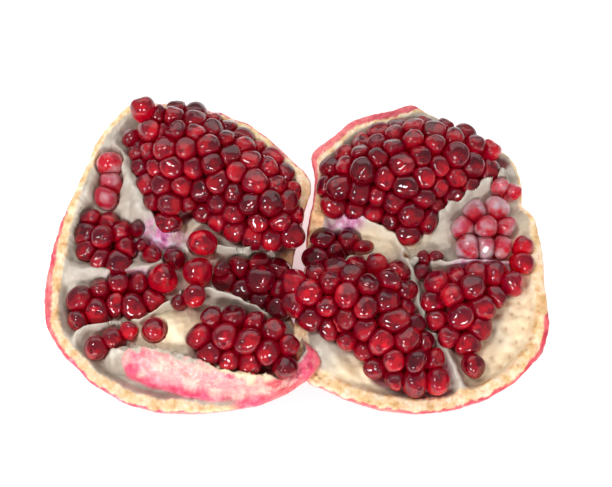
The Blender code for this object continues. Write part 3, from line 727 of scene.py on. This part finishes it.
def make_arils(arils, materials):
    """One piece for each node of arils, on a cage that Subdivision Surface rounds."""
    points, along, painted_glow, contact_shade = aril_shapes(arils)
    quads, triangles = wrapped_faces(CAGE_ROWS, CAGE_COLUMNS)
    tone = np.random.default_rng(9).random(len(points))
    dark = np.isin(arils["node"], DARK_NODES)
    bright = np.isin(arils["node"], BRIGHT_NODES)
    # Darker tone and weaker painted glow for the dark nodes: painted shade for those deep in the
    # inner chambers and nooks
    tone = tone * np.where(dark, DARK_TONE, 1.0) + np.where(bright, BRIGHT_TONE, 0)
    painted_glow = painted_glow * np.where(dark, DARK_GLOW, 1.0)[:, None]
    for node in dict.fromkeys(arils["node"]):
        chosen = np.flatnonzero(arils["node"] == node)
        step = (np.arange(len(chosen)) * points.shape[1])[:, None, None]
        values = {"along": along[chosen].ravel(),
                  "painted_glow": painted_glow[chosen].ravel(),
                  "contact_shade": contact_shade[chosen].ravel(),
                  "tone": np.repeat(tone[chosen], points.shape[1])}
        pale = node in PALE_NODES
        piece = new_piece("fine_" + node, points[chosen].reshape(-1, 3),
                          (quads[None] + step).reshape(-1, 4),
                          (triangles[None] + step).reshape(-1, 3), values,
                          materials["pale" if pale else "red"])
        rounding = piece.modifiers.new("Rounding", "SUBSURF")
        rounding.levels = 2
        rounding.render_levels = 2
        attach(piece, "root")
        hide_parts(node)


# ---- peel

def line_at(points, x):
    """The y of a line of points at x."""
    line = np.asarray(points, dtype=float)
    return np.interp(x, line[:, 0], line[:, 1])


def flap_shape(points):
    """Height of the torn front flap, how much of it is there, and the share up its slope."""
    x, y = points[:, 0], points[:, 1]
    low = line_at(FLAP_LOW, x) + 0.5 * waves(points, 8.0, 21)
    top = rippled(line_at(FLAP_TOP, x), points, FLAP_RIPPLES)
    share = (y - low) / np.maximum(top - low, 0.4)
    within = smooth(-62.0, -57.0, x) * smooth(5.0, 1.0, x)
    rise = np.sqrt(np.clip(share, 0, 1))
    crest = FLAP_FOOT_HEIGHT + (FLAP_CREST_HEIGHT - FLAP_FOOT_HEIGHT) * rise
    behind = smooth(top + FLAP_FALL, top, y)
    here = within * behind * smooth(-0.15, 0.05, share)
    return crest, here, share


def under_arils(points, arils, grown):
    """The lowest underside of any aril, grown by a margin, as a height over each point."""
    lowest = np.full(len(points), np.inf)
    for middle, axis, (width, length) in zip(arils["middle"], arils["axis"], arils["size"]):
        across = width * (1 + ARIL_TAPER) / 2 + grown
        along = length / 2 + grown
        near = np.flatnonzero(np.abs(points - middle[:2]).max(1) < along + 1)
        if not len(near):
            continue
        stretch = (np.eye(3) / across ** 2
                   + np.outer(axis, axis) * (1 / along ** 2 - 1 / across ** 2))
        flat = points[near] - middle[:2]
        a = stretch[2, 2]
        b = 2 * (flat @ stretch[:2, 2])
        c = ((flat @ stretch[:2, :2]) * flat).sum(1) - 1
        root = b * b - 4 * a * c
        lower = middle[2] + (-b - np.sqrt(np.maximum(root, 0))) / (2 * a)
        lowest[near] = np.minimum(lowest[near], np.where(root > 0, lower, np.inf))
    return lowest


def near_depth(points, loop):
    """Depth inside a chamber's loop, worked out only for the points near it."""
    depth = np.full(len(points), -99.0)
    near = np.flatnonzero(((points > loop.min(0) - 5) & (points < loop.max(0) + 5)).all(1))
    if len(near):
        depth[near] = depth_inside(points[near], loop)[0]
    return depth


def socket_places():
    """Middles of the sockets: a jittered triangular grid inside their oval field."""
    (at_x, at_y), (wide, deep), spacing = SOCKETS
    rows, columns = np.meshgrid(np.arange(-4, 5), np.arange(-4, 5), indexing="ij")
    grid = np.column_stack([(columns + 0.5 * (rows % 2)).ravel(), GRID_ROW * rows.ravel()])
    grid = grid * spacing + np.random.default_rng(31).uniform(-0.6, 0.6, grid.shape)
    kept = (grid[:, 0] / wide) ** 2 + (grid[:, 1] / deep) ** 2 < 1
    return grid[kept] + (at_x, at_y)


def face_surface(points, flap):
    """Height of the pith face and the masks of its finishes, over an array of places.

    A tilted plain, raised by bell-shaped ridges and swellings, dimpled by sockets, sunk to a floor
    inside each chamber, with the flap laid over the front of the left half. The masks are skin,
    hot pink, the chamber floor that carries painted shade, socket dots and ridge crests.
    """
    x, y = points[:, 0], points[:, 1]
    plain = FACE_HEIGHT + FACE_SLOPE * y - PITH_DROP
    relief = rippled(0.0, points, FACE_RIPPLES)
    skin, hot, floor, dots, crests = np.zeros((5, len(points)))
    height = plain.copy()
    for place, rise, wide, deep in SWELLINGS:
        away = (((points - place) / (wide, deep)) ** 2).sum(1)
        height = height + rise * np.exp(-away)
    wander = points + 0.5 * np.column_stack([waves(points, 7.0, 3), waves(points, 7.0, 8)])
    for crest, rise, half_width in RIDGES:
        distance, _ = to_segments(wander, np.asarray(crest, dtype=float), False)
        crests = np.maximum(crests, np.exp(-(distance / half_width) ** 2))
        bump = (rise + PITH_DROP) * np.exp(-(distance / half_width) ** 2)
        height = np.maximum(height, plain + bump * (1 + 0.05 * waves(points, 4.0, 9)))
    height = height + relief
    if not flap:
        for place in socket_places():
            away = ((points - place) ** 2).sum(1)
            height = height - 0.7 * np.exp(-away / 1.5 ** 2)
            dots = np.maximum(dots, 0.7 * np.exp(-away / 0.5 ** 2))
        away = (((points - PIT) / (1.2, 0.8)) ** 2).sum(1)
        height = height - 2.5 * np.exp(-away)
        dots = np.maximum(dots, np.exp(-away ** 2))
    if flap:
        crest, here, share = flap_shape(points)
        height = height * (1 - here) + (crest + 0.30 * waves(points, 4.0, 4)) * here
        edge = rippled(0.90, points, SKIN_TOP_RIPPLES)
        corner = SKIN_CORNER + 1.2 * waves(points, 5.0, 24)
        skin = here * smooth(-0.1, 0.0, share) * smooth(edge + 0.10, edge - 0.10, share)
        skin = skin * smooth(corner - 0.4, corner + 0.4, x)
        line = np.clip(share, 0, 1) / (0.22 + 0.08 * waves(points, 6.0, 25)
                                       + 0.05 * waves(points, 1.8, 26))
        hot = np.exp(-line ** 4) * smooth(-6.0, -16.0, x)
    for outline, edge_height, rise, _ in CHAMBERS.values():
        loop = closed_curve(outline)
        depth = near_depth(points, loop)
        within = smooth(0.2, 2.4, depth)
        bed = dome_height(y, loop, depth, edge_height, rise)[0] - BED_DEPTH
        height = np.where(within > 0, height * (1 - within) + bed * within, height)
        # The floor mask for painted shade reaches a little past the outline, up the trench walls
        floor = np.maximum(floor, smooth(-0.2, 1.4, depth))
    return height, skin, hot, floor, dots, crests


def spots(points, places):
    """A mask from round soft spots given as ((x, y), half width x, half width y)."""
    mask = np.zeros(len(points))
    for place, wide, deep in places:
        away = (((points - place) / (wide, deep)) ** 2).sum(1)
        mask = np.maximum(mask, np.exp(-away ** 2))
    return mask


def around(ring, reach, gather):
    """Each value of a ring gathered with its neighbours, up to reach steps to either side."""
    return gather([np.roll(ring, step) for step in range(-reach, reach + 1)], 0)


def rim_of(shape, arils):
    """The rim in every direction from the middle: the directions, its radius and its height.

    The outline is read off by angle, rippled, and sunk wherever an aril lies on it.
    """
    middle = np.array(shape["middle"])
    rim = closed_curve(shape["rim"])
    spokes = rim[:, :2] - middle
    angle = np.arctan2(spokes[:, 1], spokes[:, 0])
    order = angle.argsort()
    direction = np.column_stack([np.cos(TURN), np.sin(TURN)])
    radius, height = (np.interp(TURN, angle[order], values[order], period=math.tau)
                      for values in (np.linalg.norm(spokes, axis=1), rim[:, 2]))
    edge = middle + direction * radius[:, None]
    radius = rippled(radius, edge, RADIUS_RIPPLES)
    height = rippled(height, edge, HEIGHT_RIPPLES)
    sink = np.zeros(COLUMNS)
    for inset in (0.0, SKIN_EDGE):
        ring = middle + direction * (radius - inset)[:, None]
        sink = np.maximum(sink, height - under_arils(ring, arils, PITH_HUG))
    sink = around(sink, RIM_WINDOW, np.max)
    return direction, radius, height - around(sink, RIM_WINDOW, np.mean)


def bowl_rings(middle, direction, radius, height):
    """Reach and height of the outside's rings: an arc from the flat foot up to the rim.

    It keeps the rim's ripples near the rim, is even further down, and has wide soft ribs.
    """
    bend = BOWL_ANGLE * (np.arange(OUTER_ROWS) + 1)[:, None] / OUTER_ROWS
    rise = (1 - np.cos(bend)) / (1 - math.cos(BOWL_ANGLE))
    calm_radius = around(radius, BOWL_WINDOW, np.mean)
    calm_height = around(height, BOWL_WINDOW, np.mean)
    reach = calm_radius + (radius - calm_radius) * rise ** BOWL_CALM
    reach = reach * np.sin(bend) / math.sin(BOWL_ANGLE)
    top = calm_height + (height - calm_height) * rise ** BOWL_CALM
    bowl = (top - SKIN_EDGE + FLAT_SINK) * rise - FLAT_SINK
    places = (middle + direction * reach[..., None]).reshape(-1, 2)
    ribs = 0.35 * waves(places, 22.0, 15).reshape(reach.shape)
    ribs = ribs * np.sin(bend) * smooth(0.0, 6.0, bowl)
    return reach + ribs, np.maximum(bowl, 0)


def make_half(name, shape, arils, flap, material):
    """One half of the peel as a closed surface of rings, from its foot to the middle of its face.

    The outside is a bowl, the lip rounds over the skin's edge as a quarter of an ellipse, the torn
    rind is frayed where the halves join, and the face runs in to the middle, under the arils.
    """
    middle = np.array(shape["middle"])
    direction, radius, height = rim_of(shape, arils)
    reach, bowl = bowl_rings(middle, direction, radius, height)

    # Lip and face
    lip = np.array(LIP_STEPS)
    inner = INNER_ROWS - len(lip)
    share = 1 - (np.arange(inner) + 1) / (inner + 1)
    inside = np.vstack([radius - lip[:, None], (radius - RIND) * share[:, None]])
    flat = middle + direction * inside[..., None]
    places = flat.reshape(-1, 2)
    face, skin, hot, floor, dots, crests = (layer.reshape(inside.shape)
                                            for layer in face_surface(places, flap))
    depth = radius - inside
    round_over = np.sqrt(np.clip(1 - (1 - np.clip(depth / SKIN_EDGE, 0, 1)) ** 2, 0, 1))
    frayed = smooth(9, 4, np.abs(flat[..., 0])) * smooth(-16, -22, flat[..., 1])
    fibres = (0.22 + 0.55 * frayed) * waves(places, 1.6, 16).reshape(inside.shape)
    fibres = fibres * smooth(0.8, 1.8, depth)
    rim_top = height - SKIN_EDGE + SKIN_EDGE * round_over + fibres
    into = smooth(RIND - 0.8, RIND + 2.6, depth)
    surface = rim_top * (1 - into) + face * into
    under = under_arils(places, arils, PITH_HUG).reshape(inside.shape)
    surface = np.minimum(surface, under)

    # Skin, torn rind and their raggedness, by direction
    finish = np.array(shape["edge"])
    skin_width, torn_width, brown = (
        np.interp(TURN, np.radians(finish[:, 0]), finish[:, column], period=math.tau)
        for column in (1, 2, 3))
    ragged = rippled(0.0, places, EDGE_RIPPLES)
    measured = depth + ragged.reshape(inside.shape)
    rind_edge = skin_width + torn_width
    torn = smooth(rind_edge + 0.5, rind_edge - 0.5, measured)
    skin_mask = smooth(skin_width + 0.25, skin_width - 0.25, measured)
    skin_mask = np.maximum(skin_mask, skin * smooth(RIND - 2.5, RIND, depth))
    if flap:
        wrap = smooth(-24, -18, flat[..., 0]) * smooth(-30, -36, flat[..., 1])
        skin_mask = np.maximum(skin_mask, wrap * smooth(RIND + 1, RIND, depth))
    down = height - SKIN_EDGE - bowl
    outer_skin = smooth(-0.4, 0.4, skin_width + down + ragged[:COLUMNS])
    pale = np.clip(skin + 0.15 * smooth(1.6, 2.2, skin_width), 0, 1)

    rings = np.vstack([np.dstack([middle + direction * reach[..., None], bowl[..., None]]),
                       np.dstack([flat, surface[..., None]])])
    points = np.vstack([(*middle, 0.0), rings.reshape(-1, 3), (*middle, surface[-1].mean())])

    def whole(outside, within):
        """One value for every point, from the values of the outer and the inner rings."""
        return np.concatenate([[outside[0, 0]], outside.ravel(), within.ravel(), [within[-1, 0]]])

    bare = np.zeros((OUTER_ROWS, COLUMNS))
    seen_from_above = points[:, :2]
    patches = spots(seen_from_above, HOT_PATCHES) * (1 + 0.5 * waves(seen_from_above, 1.8, 27))
    values = {
        "skin": whole(outer_skin, skin_mask),
        "torn": whole(1 - outer_skin, torn),
        "brown": whole((1 - outer_skin) * brown, torn * brown),
        "floor": whole(bare, floor),
        "warm": spots(seen_from_above, WARM_PATCHES),
        "stain": spots(seen_from_above, STAIN_PATCHES),
        "dots": whole(bare, dots),
        "crest": whole(bare, crests),
        "deep_skin": whole(smooth(0.5, 7.0, down), np.zeros(inside.shape)),
        "hot_skin": np.maximum(np.clip(patches, 0, 1), whole(bare, hot)),
        "pale_skin": whole(0.15 * smooth(7.0, 0.5, down), pale),
    }
    quads, triangles = wrapped_faces(len(rings), COLUMNS)
    piece = new_piece(name, points, quads, triangles, values, material)
    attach(piece, "root")
    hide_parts("peel")


# ---- studio

def make_floor():
    """A plain pale floor under the fruit."""
    s = Shading("studio_floor")
    s.set(Base_Color=s.ramp(s.noise(3.0, 2.0), [(0.2, (0.97, 0.97, 0.97)),
                                                (0.8, (0.99, 0.99, 0.99))]),
          Roughness=0.9, Emission_Color=(1.0, 1.0, 1.0), Emission_Strength=0.30)
    mesh = bpy.data.meshes.new("floor")
    side = 3.0
    mesh.from_pydata([(-side, -side, 0), (side, -side, 0), (side, side, 0), (-side, side, 0)],
                     [], [(0, 1, 2, 3)])
    mesh.materials.append(s.material)
    new_object("floor", mesh)


def make_light(name, place, aim, size, power):
    """A soft rectangular light that looks at a place."""
    lamp = bpy.data.lights.new(name, "AREA")
    lamp.shape = "RECTANGLE"
    lamp.size, lamp.size_y = size
    lamp.energy = power
    light = new_object(name, lamp)
    light.location = place
    light.rotation_euler = (Vector(aim) - Vector(place)).to_track_quat("-Z", "Y").to_euler()


def make_studio():
    """White surroundings, one broad light from above and behind, and small ones for glints."""
    world = bpy.data.worlds.new("studio")
    bpy.context.scene.world = world
    world.use_nodes = True
    surroundings = world.node_tree.nodes["Background"].inputs
    surroundings["Color"].default_value = (1, 1, 1, 1)
    surroundings["Strength"].default_value = 0.42
    aim = (0, 0, 0.03)
    make_light("broad_back", (0.0, 0.95, 0.80), aim, (2.4, 1.0), 11.0)
    make_light("glint_left", (-0.42, -0.62, 0.42), aim, (0.20, 0.14), 3.4)
    make_light("glint_right", (0.25, -0.75, 0.52), aim, (0.26, 0.10), 3.6)
    make_light("glint_top", (-0.30, -0.10, 0.85), aim, (0.12, 0.22), 3.0)
    bpy.context.scene.view_settings.view_transform = "Standard"


def make_camera():
    """Looks down on the fruit from the front, through a long lens."""
    lens, sensor = 85.0, 36.0
    fall = math.radians(65.0)
    width_in_view = 189.7
    distance = width_in_view * lens / sensor * MM
    target = Vector((-CENTRE[0] * MM, -CENTRE[1] * MM, 0.025))
    camera = bpy.data.cameras.new("camera")
    camera.lens, camera.sensor_width = lens, sensor
    viewer = new_object("camera", camera)
    viewer.location = target + distance * Vector((0, -math.cos(fall), math.sin(fall)))
    viewer.rotation_euler = (target - viewer.location).to_track_quat("-Z", "Y").to_euler()
    bpy.context.scene.camera = viewer


# ---- the whole

def main():
    """Make the studio, then every piece of the fruit."""
    make_floor()
    make_studio()
    make_camera()
    arils = all_arils()
    # The red stops run from bright at the base to dark at the tip: partly the aril's own colour and
    # partly painted light gathered low in the aril. The red glow and fleck colours are painted
    # glow, and the colour after them is painted shade where arils touch.
    red = aril_material("aril_red", [(0.0, (0.88, 0.002, 0.030)), (0.45, (0.80, 0.002, 0.030)),
                                     (0.75, (0.40, 0.002, 0.026)), (0.90, (0.22, 0.002, 0.022)),
                                     (1.0, (0.17, 0.003, 0.024))],
                        (0.95, (1.0, 0.010, 0.034)), (0.95, (1.0, 0.010, 0.034), 0.58, 0.66),
                        (0.62, 0.0008, 0.028),
                        ((0.48, 0.5, 0.6), (1.15, 1.2, 1.1)))
    # The pale glow colour is painted glow too, and the colour after the whitish streaks is painted
    # shade where arils touch.
    pale = aril_material("aril_pale", [(0.0, (0.85, 0.008, 0.03)), (0.55, (0.78, 0.012, 0.04)),
                                       (0.80, (0.66, 0.020, 0.060)), (0.92, (0.82, 0.10, 0.17)),
                                       (1.0, (0.95, 0.34, 0.43))],
                         (0.90, (0.90, 0.010, 0.030)), (0.85, (1.0, 0.70, 0.72), 0.44, 0.63),
                         (0.45, 0.004, 0.020),
                         ((0.95, 0.9, 1.0), (1.3, 1.3, 1.35)))
    make_arils(arils, {"red": red, "pale": pale})
    flesh = peel_material()
    make_half("peel_left_half", LEFT_HALF, arils, True, flesh)
    make_half("peel_right_half", RIGHT_HALF, arils, False, flesh)


main()
